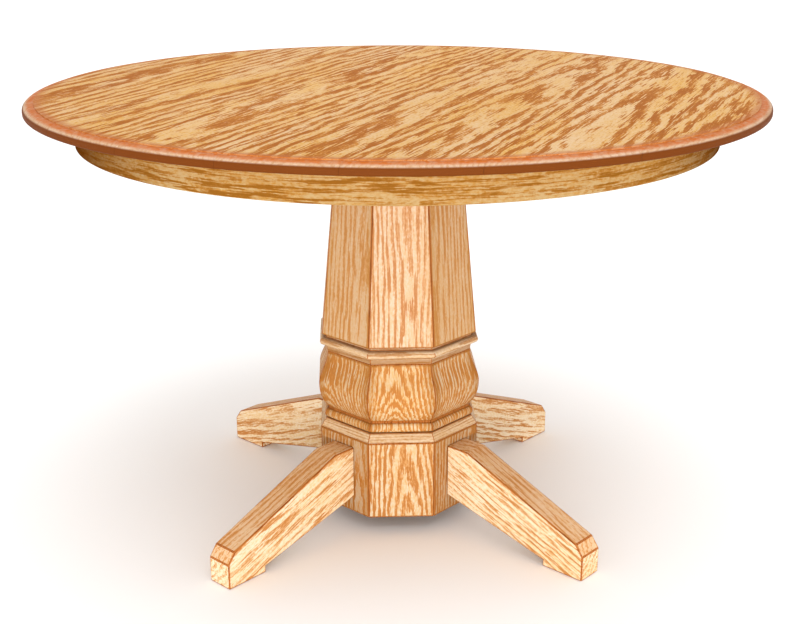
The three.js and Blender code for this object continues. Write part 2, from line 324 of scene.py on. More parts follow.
@dataclass(frozen=True)
class OakFinish:
    """Plain-sawn oak under a thin honey stain and a satin lacquer.

    The growth rings are cylinders about a wandering pith line, so a face shows straight grain or
    cathedrals by where it cuts them, and end grain shows arcs. Open pores break the rings up into
    ragged dashes.

    Attributes:
        name: The material's name.
        pale: The lightest wood between the rings.
        honey: The warmer wood that clouds it.
        streak: The stained early wood of a ring.
        dark: The heart of the strongest streaks.
        deep: What the board's own deeper tone and its painted shade at edges and in quirks turn to.
        pore: The open pores.
        ring: How far apart the rings are.
        band: Where in a ring the early wood starts to fade and where it ends.
        even: How much of the early wood shows everywhere; the rest comes and goes in patches.
        strength: How much of the streaks' colour shows.
        wander: How far the pith line strays.
        waver: How much the rings waver, in rings.
        ragged: How much the pores break the rings up.
        dashes: How much the streaks break into dashes along their run.
        speckle: How strong the fine flecks are.
        roughness: The lacquer's roughness.
        gloss: The lacquer's specular level.
        painted_shade: How much painted shade deepens a face along its long edges, toward the apron's ends and
            over the legs' upper faces.
        painted_quirk_shade: The height, reach and depth of each line of painted shade in a quirk or joint.
        grain: Where the run of the grain is read.
    """

    name: str
    pale: Colour
    honey: Colour
    streak: Colour
    dark: Colour
    deep: Colour = (0.30, 0.115, 0.022)
    pore: Colour = (0.20, 0.075, 0.016)
    ring: float = 0.0085
    band: Band = (0.24, 0.70)
    even: float = 0.25
    strength: float = 0.9
    wander: float = 0.03
    waver: float = 1.7
    ragged: float = 1.0
    dashes: float = 0.5
    speckle: float = 1.1
    roughness: float = 0.48
    gloss: float = 0.22
    painted_shade: float = 0.0
    painted_quirk_shade: tuple[Quirk, ...] = ()
    grain: Grain = Grain.LAID

    def _place(self, graph: Graph) -> Socket:
        """The run, width and depth of the grain at a point, as a vector socket."""
        if self.grain is Grain.LAID:
            return graph.attribute("grain")
        turn = math.pi / 2 if self.grain is Grain.ALONG_Y else 0.0
        sockets = {"Vector": graph.own(), "Rotation": (0.0, 0.0, -turn), "Location": OAK_PITH}
        return graph.node("ShaderNodeMapping", None, sockets).outputs[0]

    def _rings(self, graph: Graph, place: Socket) -> Value:
        """The early wood of the rings.

        Args:
            graph: The material's graph.
            place: The run, width and depth of the grain.

        Returns:
            From 0 in late wood to 1 in early wood.
        """
        _, across, depth = graph.split(place)
        across = across + graph.swing(place, Texture.PITH_SWAY) * self.wander
        depth = depth + graph.swing(place, Texture.PITH_DRIFT) * (self.wander * 1.5)
        distance = (across * across + depth * depth).root()
        waves = graph.swing(place, Texture.RING_WAVES)
        teeth = graph.swing(place, Texture.RING_TEETH)
        phase = (distance / self.ring + waves * self.waver + teeth * self.ragged).fraction()
        return phase.ramp(*RING_ONSET) * (1 - phase.ramp(*self.band))

    def _tone(self, graph: Graph) -> Value:
        """How much deeper the colour is, from the board's tone, which is painted shade on the corner staves,
        and painted shade at its edges and in its quirks.
        """
        tone, side, _ = graph.split(graph.attribute("tone_and_shade"))
        # painted shade toward the edges that the share marks
        if self.painted_shade:
            tone = tone + (side * side).ramp(*PAINTED_SHADE_BAND) * self.painted_shade
        # painted shade in the quirks and joints
        if self.painted_quirk_shade:
            height = graph.split(graph.own())[2]
            for middle, reach, amount in self.painted_quirk_shade:
                off = height - middle
                tone = tone + (1 - (off * off).root().ramp(reach * QUIRK_CORE, reach)) * amount
        return tone

    def _stain_and_shade(self, graph: Graph, colour: Socket) -> Socket:
        """Deepens a colour by the board's tone and by painted shade.

        Args:
            graph: The material's graph.
            colour: The wood's colour.

        Returns:
            The stained colour.
        """
        return graph.mix(self._tone(graph), colour, self.deep)

    @cache
    def build(self) -> bpy.types.Material:
        """Builds the material, the first time it is asked for.

        Returns:
            The finished oak.
        """
        graph = Graph(self.name)
        place = self._place(graph)
        early = self._rings(graph, place)
        brush = graph.swing(place, Texture.BRUSH)
        fibre = graph.noise(place, Texture.FIBRE)
        patch = graph.noise(place, Texture.PATCH)
        cloud = graph.noise(place, Texture.CLOUD)
        speck = graph.swing(place, Texture.SPECK) * self.speckle
        dash = graph.swing(place, Texture.DASH) * self.dashes
        early = early * (self.even + patch * (1.5 - self.even))
        broken = early + dash + brush * self.ragged + (fibre - 0.5) * FIBRE_SHARE + speck
        streaks = broken.ramp(*STREAK_BAND)
        heart = broken.ramp(*HEART_BAND)
        pores = graph.noise(place, Texture.PORE).ramp(*PORE_BAND) * (0.2 + early * 0.8)

        warmth = (cloud * 1.9 + brush * 1.6 + speck * 2.2 - 0.45).clamped()
        ground = graph.mix(warmth, self.pale, self.honey)
        streaked = graph.mix(streaks * self.strength, ground, self.streak)
        figured = graph.mix(heart * self.strength, streaked, self.dark)
        colour = self._stain_and_shade(graph, graph.mix(pores * PORE_SHARE, figured, self.pore))

        relief = 0.5 - pores * 0.8 - streaks * 0.18 + fibre * 0.12
        return graph.finish(
            Base_Color=colour,
            Roughness=self.roughness + pores * 0.2 + streaks * 0.06 + cloud * 0.05,
            Normal=graph.bump(relief, 0.35, OAK_BUMP),
            Specular_IOR_Level=self.gloss,
            IOR=LACQUER_IOR,
        )


@dataclass(frozen=True)
class TopFinish(OakFinish):
    """Oak for the top's face, with a little of the edge's red stain wiped raggedly over its rim.

    Attributes:
        red: The stain.
        wiped_from: The radius where it starts.
        wiped_to: The radius where it is full.
    """

    red: Colour = (0.40, 0.125, 0.035)
    wiped_from: float = 0.570
    wiped_to: float = 0.592

    def _stain_and_shade(self, graph: Graph, colour: Socket) -> Socket:
        """Wipes the stain over the rim.

        Args:
            graph: The material's graph.
            colour: The wood's colour.

        Returns:
            The stained colour.
        """
        own = graph.own()
        x, y, _ = graph.split(own)
        near = (x * x + y * y).ramp(self.wiped_from**2, self.wiped_to**2)
        rags = graph.swing(own, Texture.WIPED_RAGS)
        wiped = (near * (1.1 + rags * 2.4)).clamped() * 0.75
        return graph.mix(wiped, super()._stain_and_shade(graph, colour), self.red)


@dataclass(frozen=True)
class EdgeFinish(OakFinish):
    """Oak on the moulded edge: red stain left in the step, the bare nose, and painted shade with a deeper
    stain on the lower side.

    Attributes:
        red: The stain in the step.
        step_foot: The height where the red has faded out on the nose.
        step_top: The height above which it is full.
        nose_foot: The height where the lower side's painted shade is full.
        nose_top: The height where it starts.
    """

    red: Colour = (0.46, 0.115, 0.016)
    step_foot: float = 0.7566
    step_top: float = 0.7594
    nose_foot: float = 0.7540
    nose_top: float = 0.7565

    def _stain_and_shade(self, graph: Graph, colour: Socket) -> Socket:
        """Stains the step and paints shade, with a deeper stain, on the lower side.

        Args:
            graph: The material's graph.
            colour: The wood's colour.

        Returns:
            The stained colour.
        """
        own = graph.own()
        height = graph.split(own)[2]
        worn = (0.80 + graph.swing(own, Texture.WORN_RAGS) * 1.6).clamped()
        stepped = graph.mix(height.ramp(self.step_foot, self.step_top) * worn, colour, self.red)
        # painted shade, with a deeper stain, below the nose
        return graph.mix(1 - height.ramp(self.nose_foot, self.nose_top), stepped, self.deep)


@dataclass(frozen=True)
class ZincFinish:
    """Bright zinc plate on steel, with the mottled sheen and faint turning marks of plated hardware."""

    name: str = "zinc_plate"
    bright: Colour = (0.66, 0.66, 0.63)
    dull: Colour = (0.42, 0.41, 0.38)

    @cache
    def build(self) -> bpy.types.Material:
        """Builds the material, the first time it is asked for.

        Returns:
            The finished plate.
        """
        graph = Graph(self.name)
        own = graph.own()
        mottle = graph.noise(own, Texture.PLATE_MOTTLE)
        marks = graph.noise(own, Texture.TURNING_MARKS)
        return graph.finish(
            Base_Color=graph.mix((mottle * 1.3 - 0.2).clamped(), self.bright, self.dull),
            Roughness=0.26 + mottle * 0.2,
            Metallic=1.0,
            Normal=graph.bump(marks, 0.2, ZINC_BUMP),
        )


TOP = TopFinish(
    "oak_top", pale=(0.63, 0.43, 0.24), honey=(0.6, 0.325, 0.072), streak=(0.46, 0.165, 0.012),
    dark=(0.33, 0.09, 0.003), ring=0.0155, band=(0.3, 0.82), even=0.35, gloss=0.03, ragged=1.3, dashes=0.8,
)
# the edge's deep colour is painted shade on its lower side
EDGE = EdgeFinish(
    "oak_edge", pale=(0.52, 0.365, 0.26), honey=(0.48, 0.29, 0.165), streak=(0.41, 0.21, 0.11),
    dark=(0.34, 0.15, 0.06), deep=(0.135, 0.034, 0.005), ring=0.006, strength=0.25, gloss=0.03,
)
# painted shade darkens the apron toward its ends
APRON = OakFinish(
    "oak_apron", pale=(0.42, 0.285, 0.13), honey=(0.37, 0.18, 0.036), streak=(0.3, 0.125, 0.02),
    dark=(0.225, 0.085, 0.009), deep=(0.095, 0.024, 0.001), painted_shade=1.0, gloss=0.0, roughness=0.6,
    band=(0.26, 0.8), even=0.15, ragged=1.8, dashes=1.2, waver=2.2,
)
# painted shade beside the column's arrises and at its foot
COLUMN = OakFinish(
    "oak_column", pale=(0.6, 0.47, 0.34), honey=(0.57, 0.37, 0.2), streak=(0.52, 0.26, 0.105),
    dark=(0.42, 0.17, 0.055), deep=(0.37, 0.17, 0.025), ring=0.0075, band=(0.26, 0.78), even=0.4,
    painted_shade=0.16, painted_quirk_shade=((0.344, 0.004, 0.5),), gloss=0.12, ragged=1.2, dashes=0.7,
)
# painted shade beside the bulb's arrises and in its quirks
BULB = OakFinish(
    "oak_bulb", pale=(0.57, 0.45, 0.3), honey=(0.56, 0.35, 0.15), streak=(0.53, 0.255, 0.07),
    dark=(0.42, 0.155, 0.03), deep=(0.27, 0.095, 0.01), ring=0.0058, band=(0.4, 0.95), even=0.6,
    painted_shade=0.45, painted_quirk_shade=((0.2062, 0.0042, 0.9), (0.1875, 0.0036, 0.6), (0.312, 0.006, 0.6)), gloss=0.1,
    ragged=1.5, dashes=1.0,
)
# painted shade beside the base's arrises and along its top and bottom
BASE = OakFinish(
    "oak_base", pale=(0.57, 0.47, 0.33), honey=(0.56, 0.36, 0.17), streak=(0.515, 0.24, 0.07),
    dark=(0.38, 0.14, 0.03), deep=(0.26, 0.09, 0.008), ring=0.007, band=(0.34, 0.86), even=0.5,
    painted_shade=0.12, painted_quirk_shade=((0.172, 0.004, 0.8), (0.03, 0.004, 0.8)), gloss=0.1, ragged=1.3, dashes=0.8,
)
# painted shade in the moulding's quirks and recess
MOULDING = OakFinish(
    "oak_moulding", pale=(0.6, 0.45, 0.3), honey=(0.53, 0.33, 0.16), streak=(0.4, 0.185, 0.055),
    dark=(0.3, 0.11, 0.022), deep=(0.23, 0.08, 0.009), strength=0.5, ring=0.005,
    painted_quirk_shade=((0.3405, 0.0045, 0.25), (0.324, 0.0025, 0.6), (0.3165, 0.0062, 0.6), (0.187, 0.003, 0.5)),
    gloss=0.1, ragged=1.3, dashes=0.7,
)
# painted shade on the legs' upper faces
LEG = OakFinish(
    "oak_leg", pale=(0.76, 0.62, 0.44), honey=(0.71, 0.48, 0.24), streak=(0.59, 0.305, 0.115),
    dark=(0.46, 0.175, 0.04), deep=(0.5, 0.2, 0.045), ring=0.01, band=(0.26, 0.8), even=0.1, waver=2.0,
    painted_shade=0.42, gloss=0.12, ragged=1.5, dashes=0.9,
)
ARRIS = OakFinish(
    "oak_arris", pale=(0.4, 0.135, 0.028), honey=(0.36, 0.11, 0.02), streak=(0.29, 0.08, 0.012),
    dark=(0.22, 0.055, 0.008), ring=0.004, gloss=0.12,
)
UNFINISHED = {
    grain: OakFinish(
        name,
        pale=(0.44, 0.31, 0.18), honey=(0.39, 0.255, 0.13), streak=(0.29, 0.165, 0.07),
        dark=(0.22, 0.115, 0.045), roughness=0.7, gloss=0.15, grain=grain,
    )
    for grain, name in ((Grain.ALONG_X, "oak_unfinished_x"), (Grain.ALONG_Y, "oak_unfinished_y"))
}
ZINC = ZincFinish()


# ---- the bench ----


def no_share(_place: Vector, _normal: Vector) -> float:
    """No edge gets painted shade."""
    return 0.0


def stave_share(turn: float) -> Share:
    """Where points lie across the octagon's side that faces an angle, for the painted shade beside its
    arrises.

    Args:
        turn: The angle.

    Returns:
        The function from a place to its share, from -1 at one mitre to 1 at the other.
    """

    def share(place: Vector, _normal: Vector) -> float:
        """The share at a place."""
        local = Matrix.Rotation(-turn, 3, "Z") @ place
        return max(-1.0, min(1.0, local.y / (max(local.x, 0.001) * math.tan(SIDE_ANGLE / 2))))

    return share


def hoop_share(place: Vector, _normal: Vector) -> float:
    """Where a place lies round the apron, from 0 in the middle of a half to 1 or -1 at its joints, for the
    painted shade toward its ends.
    """
    return place.x / max(place.xy.length, 0.001)


def upper_share(_place: Vector, normal: Vector) -> float:
    """The faces that look up get painted shade all over."""
    return float(normal.z > 0.5)


class Bench:
    """A modeller's bench, where one piece at a time is drawn, spun, cut and eased."""

    @staticmethod
    def pick(piece: Piece) -> None:
        """Deselects everything, then selects one piece and makes it active."""
        bpy.ops.object.select_all(action="DESELECT")
        piece.select_set(True)
        bpy.context.view_layer.objects.active = piece

    @staticmethod
    @contextmanager
    def editing(piece: Piece) -> Iterator[None]:
        """Opens a piece in edit mode with all of it selected, and closes it again."""
        Bench.pick(piece)
        bpy.ops.object.mode_set(mode="EDIT")
        bpy.ops.mesh.select_all(action="SELECT")
        yield
        bpy.ops.object.mode_set(mode="OBJECT")

    @staticmethod
    def draw(name: str, points: Sequence[Vector]) -> Piece:
        """Draws an open outline by pulling one vertex from point to point.

        Args:
            name: The piece's name.
            points: The outline's corners.

        Returns:
            The wire.
        """
        bpy.ops.object.select_all(action="DESELECT")
        bpy.ops.mesh.primitive_plane_add(size=0.01)
        piece = bpy.context.object
        piece.name = piece.data.name = name
        with Bench.editing(piece):
            bpy.ops.mesh.merge(type="CENTER")
            bpy.ops.transform.translate(value=points[0])
            for before, after in zip(points, points[1:]):
                bpy.ops.mesh.extrude_vertices_move(TRANSFORM_OT_translate={"value": after - before})
        return piece

    @staticmethod
    def plate(name: str, points: Sequence[Vector], pull: Vector) -> Piece:
        """Fills an outline and pulls it out into a plate.

        Args:
            name: The piece's name.
            points: The outline's corners.
            pull: The way and the distance that the face is pulled.

        Returns:
            The closed plate.
        """
        piece = Bench.draw(name, points)
        with Bench.editing(piece):
            bpy.ops.mesh.edge_face_add()
            bpy.ops.mesh.extrude_region_move(TRANSFORM_OT_translate={"value": pull})
        Bench.close(piece)
        return piece

    @staticmethod
    def turned(name: str, points: Sequence[Vector], steps: int, angle: float = math.tau) -> Piece:
        """Spins an outline about the table's upright axis.

        Args:
            name: The piece's name.
            points: The outline's corners; a full turn closes it on itself or on the axis.
            steps: How many steps the turn has.
            angle: How far it turns.

        Returns:
            The closed piece.
        """
        whole = angle >= math.tau
        on_axis = math.hypot(points[0].x, points[0].y) < 1e-9
        outline = list(points) + ([points[0]] if whole and not on_axis else [])
        piece = Bench.draw(name, outline)
        with Bench.editing(piece):
            if not whole:
                bpy.ops.mesh.edge_face_add()
            bpy.ops.mesh.spin(steps=steps, angle=angle, center=(0, 0, 0), axis=(0, 0, 1))
        Bench.close(piece)
        return piece

    @staticmethod
    def close(piece: Piece) -> None:
        """Merges a piece's doubled vertices and turns its faces outwards."""
        with Bench.editing(piece):
            bpy.ops.mesh.remove_doubles(threshold=0.00001)
            bpy.ops.mesh.normals_make_consistent(inside=False)

    @staticmethod
    def tidy_flats(piece: Piece) -> None:
        """Joins the faces that lie in one plane."""
        with Bench.editing(piece):
            bpy.ops.mesh.dissolve_limited(angle_limit=math.radians(0.3))

    @staticmethod
    def cut(piece: Piece, point: Vector, normal: Vector) -> None:
        """Saws a piece through a plane, drops the part on the normal's side and closes the cut."""
        with Bench.editing(piece):
            bpy.ops.mesh.bisect(plane_co=point, plane_no=normal, use_fill=True, clear_outer=True)

    @staticmethod
    def from_node(name: str, node: str) -> Piece:
        """Copies a CAD node's shape as a merged mesh with whole faces.

        Args:
            name: The new piece's name.
            node: The CAD node's name.

        Returns:
            The copy, ready to be eased.
        """
        piece = bpy.data.objects.new(name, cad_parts[node].data.copy())
        piece.data.materials.clear()
        piece.data.name = name
        bpy.context.scene.collection.objects.link(piece)
        Bench.close(piece)
        Bench.tidy_flats(piece)
        return piece

    @staticmethod
    def modify(piece: Piece, kind: str, **settings: object) -> None:
        """Adds a modifier with its settings and applies it."""
        Bench.pick(piece)
        bpy.ops.object.modifier_add(type=kind)
        modifier = piece.modifiers[-1]
        for key, value in settings.items():
            setattr(modifier, key, value)
        bpy.ops.object.modifier_apply(modifier=modifier.name)

    @staticmethod
    def ease(piece: Piece, width: float, material: int = -1, angle: float = 25.0, clamp: bool = True) -> None:
        """Rounds the sharp edges over, as a maker's sanding block does.

        Args:
            piece: The piece.
            width: How wide the rounded strip is.
            material: The material slot of the strip, or -1 to keep the neighbours' own.
            angle: The least turn, in degrees, between two faces whose edge is eased.
            clamp: Whether small details nearby keep every strip narrow.
        """
        while len(piece.data.materials) < material + 1:
            piece.data.materials.append(None)
        Bench.modify(
            piece,
            "BEVEL",
            width=width,
            segments=3,
            limit_method="ANGLE",
            angle_limit=math.radians(angle),
            material=material,
            use_clamp_overlap=clamp,
        )

    @staticmethod
    def sand(piece: Piece, angle: float = 38.0) -> None:
        """Shades the piece smooth up to an angle, and lets its flat faces lead the shading."""
        Bench.pick(piece)
        bpy.ops.object.shade_smooth_by_angle(angle=math.radians(angle))
        Bench.modify(piece, "WEIGHTED_NORMAL", weight=60, keep_sharp=True)

    @staticmethod
    def twin(piece: Piece, name: str, turn: float) -> Piece:
        """Copies a piece and turns the copy about the table's upright axis.

        Args:
            piece: The piece to copy.
            name: The copy's name.
            turn: The angle in radians.

        Returns:
            The copy, with its own mesh.
        """
        copy = piece.copy()
        copy.data = piece.data.copy()
        copy.name = copy.data.name = name
        bpy.context.scene.collection.objects.link(copy)
        copy.rotation_euler.z = turn
        Bench.pick(copy)
        bpy.ops.object.transform_apply(location=False, rotation=True, scale=False)
        return copy

    @staticmethod
    def dress(piece: Piece, *finishes: OakFinish | ZincFinish) -> None:
        """Puts finishes in the piece's material slots, in order, and keeps each face's choice of slot."""
        chosen = [face.material_index for face in piece.data.polygons]
        piece.data.materials.clear()
        for finish in finishes:
            piece.data.materials.append(finish.build())
        piece.data.polygons.foreach_set("material_index", chosen)

    @staticmethod
    def lay_grain(piece: Piece, mapper: Mapper, tone: float = 0.0, share: Share = no_share) -> None:
        """Writes where each corner of the mesh lies in its board, its tone and where its painted shade falls.

        Args:
            piece: The piece.
            mapper: Gives run, width and depth in the board from a corner's place and its face's normal.
            tone: How much deeper than usual the board is; on the corner staves this is painted shade.
            share: Gives, from the same two, how near an edge with painted shade a corner is: 1 or -1 at the
                edge.
        """
        mesh = piece.data
        grain: list[float] = []
        tone_and_shade: list[float] = []
        for face in mesh.polygons:
            for corner in face.loop_indices:
                place = mesh.vertices[mesh.loops[corner].vertex_index].co
                grain.extend(mapper(place, face.normal))
                tone_and_shade.extend((tone, share(place, face.normal), 0.0))
        mesh.attributes.new("grain", "FLOAT_VECTOR", "CORNER").data.foreach_set("vector", grain)
        mesh.attributes.new("tone_and_shade", "FLOAT_VECTOR", "CORNER").data.foreach_set("vector", tone_and_shade)

    @staticmethod
    def fit(piece: Piece, slot: str, node: str) -> None:
        """Fixes a finished piece to the table in place of its CAD node and logs it."""
        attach(piece, BODY)
        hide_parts(node)
        log.info("%s: %d faces, stands for %s", piece.name, len(piece.data.polygons), node)


def arc(middle: Band, size: Band, start: float, end: float, steps: int) -> Outline:
    """Points on an elliptical arc in radius and height.

    Args:
        middle: The ellipse's centre.
        size: Its half width and half height.
        start: The first angle in degrees.
        end: The last angle in degrees.
        steps: How many steps the arc has.

    Returns:
        Pairs of radius and height.
    """
    angles = (math.radians(start + (end - start) * i / steps) for i in range(steps + 1))
    return [(middle[0] + size[0] * math.cos(a), middle[1] + size[1] * math.sin(a)) for a in angles]


def bezier(points: Outline, steps: int) -> Outline:
    """Points on a cubic curve in radius and height.

    Args:
        points: Its two ends and two handles, in order.
        steps: How many steps the curve has.

    Returns:
        Pairs of radius and height, without the first end.
    """
    made = []
    for i in range(1, steps + 1):
        t = i / steps
        weights = ((1 - t) ** 3, 3 * t * (1 - t) ** 2, 3 * t * t * (1 - t), t**3)
        made.append(tuple(sum(w * p[axis] for w, p in zip(weights, points)) for axis in (0, 1)))
    return made


def upright(points: Outline, turn: float = 0.0, scale: float = 1.0) -> list[Vector]:
    """Stands an outline of radius and height up in the plane at an angle about the table's axis."""
    return [Vector((r * scale * math.cos(turn), r * scale * math.sin(turn), z)) for r, z in points]


@dataclass
class BoardFrame:
    """The straight run of the grain in one board, turned about the upright axis.

    Attributes:
        turn: The angle of the piece about the upright axis.
        run: The way of the grain before the piece is turned.
        width: The way across the board's face before the piece is turned.
        pith: Where the tree's pith lay: along, across and below the face.
        tilt: How fast the rings run out of the face along the grain.
        relief: How much of the face's shape cuts into the rings; less than 1 for stock bent to the shape.
    """

    turn: float
    run: Vector
    width: Vector
    pith: Vector
    tilt: float = 0.0
    relief: float = 1.0

    def __call__(self, place: Vector, _normal: Vector) -> Vector:
        """Run, width and depth in the board at a place."""
        local = Matrix.Rotation(-self.turn, 3, "Z") @ place
        run = local.dot(self.run)
        depth = local.dot(self.run.cross(self.width)) * self.relief + self.tilt * run
        return Vector((run, local.dot(self.width), depth)) + self.pith


# ---- sub-assemblies ----


@dataclass
class Tabletop:
    """Eight edge-glued boards with one moulded edge around them: a small step and a rounded nose."""

    turn: float = math.radians(65)
    board_width: float = 0.164
    boards: int = 8
    edge_band: float = 0.0185
    edge_step: float = 0.0018
    edge_drop: float = 0.0095
    under_radius: float = 0.003
    steps: int = 288
    seed: int = 11
    pith_near: float = 0.035
    pith_spread: float = 0.05
    pith_depth: Band = (0.045, 0.075)
    tilt: float = 0.04
    tone: float = 0.06

    def outline(self) -> Outline:
        """The half section of the disc, in radius and height."""
        low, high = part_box("top_board_4")
        radius = CAD_BOX[1].x
        nose = high.z - self.edge_step - self.edge_drop
        under = self.under_radius
        edge = arc((radius - under, low.z + under), (under, under), -90, 0, 5)
        edge += arc((radius - self.edge_band, nose), (self.edge_band, self.edge_drop), 0, 90, 12)
        edge += [(radius - self.edge_band, high.z)]
        return [(0.0, low.z), *edge, (0.0, high.z)]

    def build(self) -> None:
        """Spins the disc, saws it into boards, and dresses each."""
        disc = Bench.turned("top_disc", upright(self.outline()), self.steps)
        Bench.tidy_flats(disc)
        middle = self.boards / 2
        chance = random.Random(self.seed)
        across = Vector((-math.sin(self.turn), math.cos(self.turn), 0))
        for index in range(self.boards):
            board = Bench.twin(disc, f"top_board_{index + 1}_oak", 0.0)
            low, high = ((index + end - middle) * self.board_width for end in (0, 1))
            if index > 0:
                Bench.cut(board, across * (low + GLUE_LINE / 2), -across)
            if index < self.boards - 1:
                Bench.cut(board, across * (high - GLUE_LINE / 2), across)
            self.dress(board, (low + high) / 2, chance)
            Bench.fit(board, "oak_top", f"top_board_{index + 1}")
        bpy.data.objects.remove(disc)

    def dress(self, board: Piece, middle: float, chance: random.Random) -> None:
        """Lays one board's grain and picks out the moulded edge.

        Args:
            board: The board.
            middle: How far its middle line lies from the table's.
            chance: Gives the board's differences from the others.
        """
        radius = CAD_BOX[1].x
        moulded_from = radius - self.edge_band + SLACK
        for face in board.data.polygons:
            reach = max(board.data.vertices[v].co.xy.length for v in face.vertices)
            face.material_index = int(reach > moulded_from and abs(face.normal.z) < LEVEL)
        Bench.sand(board)
        beside = self.pith_near + middle / radius * self.pith_spread
        pith = Vector((chance.uniform(-4, 4), chance.choice((-1, 1)) * beside - middle, 0.0))
        pith.z = chance.uniform(*self.pith_depth) - CAD_BOX[1].z
        tilt = chance.uniform(-self.tilt, self.tilt)
        run = BoardFrame(self.turn, Vector((1, 0, 0)), Vector((0, 1, 0)), pith, tilt)
        Bench.lay_grain(board, run, chance.uniform(0.0, self.tone))
        Bench.dress(board, TOP, EDGE)


@dataclass
class Apron:
    """The bent hoop under the top, in two halves, with a splice block behind each joint."""

    thickness: float = 0.020
    ease: float = 0.0025
    steps: int = 144
    tone: float = 0.02

    def build(self) -> None:
        """Spins one half, copies it, and dresses both."""
        low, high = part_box("apron_half_back")
        outer = high.x
        inner = outer - self.thickness
        gap = GLUE_LINE / 2 / outer
        outline = [(inner, low.z)]
        outline += arc((outer - self.ease, low.z + self.ease), (self.ease,) * 2, -90, 0, 4)
        outline += [(outer, high.z), (inner, high.z)]
        half = Bench.turned("apron_half_back_oak", upright(outline, gap), self.steps, math.pi - 2 * gap)
        front = Bench.twin(half, "apron_half_front_oak", math.pi)
        for piece, shift, node in ((half, 1.3, "apron_half_back"), (front, 5.9, "apron_half_front")):
            Bench.sand(piece)
            # painted shade deepens each half toward its ends
            Bench.lay_grain(piece, self.grain(shift, outer, low.z), self.tone, hoop_share)
            Bench.dress(piece, APRON)
            Bench.fit(piece, "oak_apron", node)

    @staticmethod
    def grain(shift: float, radius: float, bottom: float) -> Mapper:
        """The grain that runs round the hoop.

        Args:
            shift: How far along the run this half starts.
            radius: The hoop's outer radius.
            bottom: The height of its lower edge.

        Returns:
            The mapper from a place to run, width and depth.
        """

        def mapper(place: Vector, _normal: Vector) -> Vector:
            """Run, width and depth at a place on the hoop."""
            run = math.atan2(place.y, place.x) * radius
            across, depth = place.z - bottom, place.xy.length - radius
            return Vector((run + shift, across + HOOP_PITH[0], depth + HOOP_PITH[1]))

        return mapper


@dataclass
class Staves:
    """Eight staves round the octagon, whose boards differ a little from one another; the corner staves carry
    painted shade.

    Attributes:
        label: The start of the staves' names in the CAD model.
        finish: The finish of the faces.
        seed: The seed of the staves' differences.
        painted_side_shade: How much painted shade darkens the corner staves against the others.
        tilt: How fast the rings run out of the faces.
        relief: How much of the faces' shape cuts into the rings.
        pith_depth: How deep behind the middle of the faces the pith lies.
        depth_spread: The least and the greatest share of that depth in any one board.
        rift: How far beside the corner staves their pith lies, which makes their grain straight.
        sidestep: How far to either side a board's pith strays.
        ease: How wide the eased arrises are.
    """

    label: str
    finish: OakFinish
    seed: int
    painted_side_shade: float
    tilt: float
    relief: float = 1.0
    pith_depth: float = 0.045
    depth_spread: Band = (0.8, 1.3)
    rift: float = 0.045
    sidestep: float = 0.012
    ease: float = 0.0021

    def stave(self, name: str, node: str, turn: float) -> Piece:
        """Copies the shape of a stave's CAD node, which is turned already, and eases its edges.

        Args:
            name: The stave's name.
            node: Its CAD node's name.
            turn: The angle of its side of the octagon; not used, since the node is turned already.

        Returns:
            The stave.
        """
        piece = Bench.from_node(name, node)
        Bench.ease(piece, self.ease, 1, clamp=False)
        Bench.sand(piece)
        return piece

    def build(self) -> None:
        """Models each stave, lays its grain, dresses it and fits it."""
        chance = random.Random(self.seed)
        low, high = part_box(f"{self.label}_stave_1")
        middle = high.x * self.relief + (low.z + high.z) / 2 * self.tilt
        for side in range(SIDES):
            turn = side * SIDE_ANGLE
            node = f"{self.label}_stave_{side + 1}"
            piece = self.stave(f"{node}_oak", node, turn)
            depth = self.pith_depth * chance.uniform(*self.depth_spread) - middle
            stray = chance.uniform(-self.sidestep, self.sidestep)
            across = stray + chance.choice((-1, 1)) * self.rift * (side % 2)
            pith = Vector((chance.uniform(-3, 3), across, depth))
            run = BoardFrame(turn, UP, Vector((0, -1, 0)), pith, self.tilt, self.relief)
            # the corner staves get painted shade, and every stave painted shade beside its arrises
            Bench.lay_grain(piece, run, self.painted_side_shade * (side % 2), stave_share(turn))
            Bench.dress(piece, self.finish, ARRIS)
            Bench.fit(piece, self.finish.name, node)


@dataclass(kw_only=True)
class MitredStaves(Staves):
    """Staves with one outline, sawn to their mitres from one pattern.

    Attributes:
        outline: The half section of a stave, in radius to the flats and height.
        half_width: Half of the plate that a stave is sawn from.
        pattern: The stave that the others are copied from.
    """

    outline: Outline
    half_width: float = 0.12
    pattern: Piece = field(init=False)

    def build(self) -> None:
        """Makes the pattern on the +X side, builds the ring from it and clears it away."""
        corners = [Vector((r, -self.half_width, z)) for r, z in self.outline]
        self.pattern = Bench.plate(f"{self.label}_pattern", corners, Vector((0, 2 * self.half_width, 0)))
        for side in (-1, 1):
            mitre = side * SIDE_ANGLE / 2
            normal = Vector((-math.sin(mitre), math.cos(mitre), 0)) * side
            Bench.cut(self.pattern, -normal * (GLUE_LINE / 2), normal)
        Bench.ease(self.pattern, self.ease, 1)
        Bench.sand(self.pattern)
        super().build()
        bpy.data.objects.remove(self.pattern)

    def stave(self, name: str, node: str, turn: float) -> Piece:
        """A copy of the pattern, turned to its side of the octagon."""
        return Bench.twin(self.pattern, name, turn)


def column_outline() -> Outline:
    """The column's wall: it tapers from its foot to its head, which the plug fills."""
    low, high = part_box("column_stave_1")
    wall = 0.022
    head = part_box("column_top_plug")[1].x + GLUE_LINE + wall
    return [(high.x - wall, low.z), (high.x, low.z), (head, high.z), (head - wall, high.z)]


